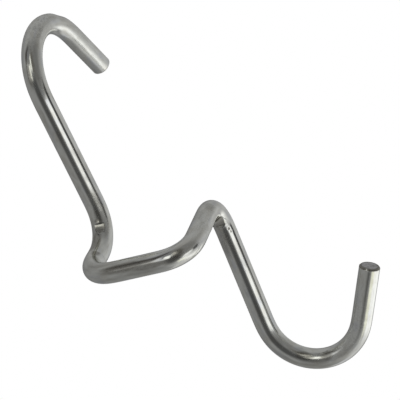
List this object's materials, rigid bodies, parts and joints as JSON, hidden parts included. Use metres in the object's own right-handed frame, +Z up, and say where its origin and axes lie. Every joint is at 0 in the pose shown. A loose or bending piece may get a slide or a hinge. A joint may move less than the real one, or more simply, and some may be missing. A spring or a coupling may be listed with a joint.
{
  "type": "ladder bucket hook",
  "caption": "Round steel rod bent into a rung hook, a square jog that passes the ladder's side rail, and a lower hook that carries a bucket by its handle.",
  "frame": {"origin": "on the axis of the rung that the top hook goes over, in the plane of that hook", "axes": "+X along the rung, towards the side where the bucket hangs; +Y through the ladder, away from the person on it; +Z up"},
  "size_m": [0.0981, 0.0903, 0.1624],
  "materials": {
    "rod": "bright drawn steel with a thin clear zinc plating: long drawing streaks, a fine dull grain on the outside of each bend, plain sawn ends"
  },
  "bodies": {
    "root": {"hook": "rod"}
  },
  "joints": []
}
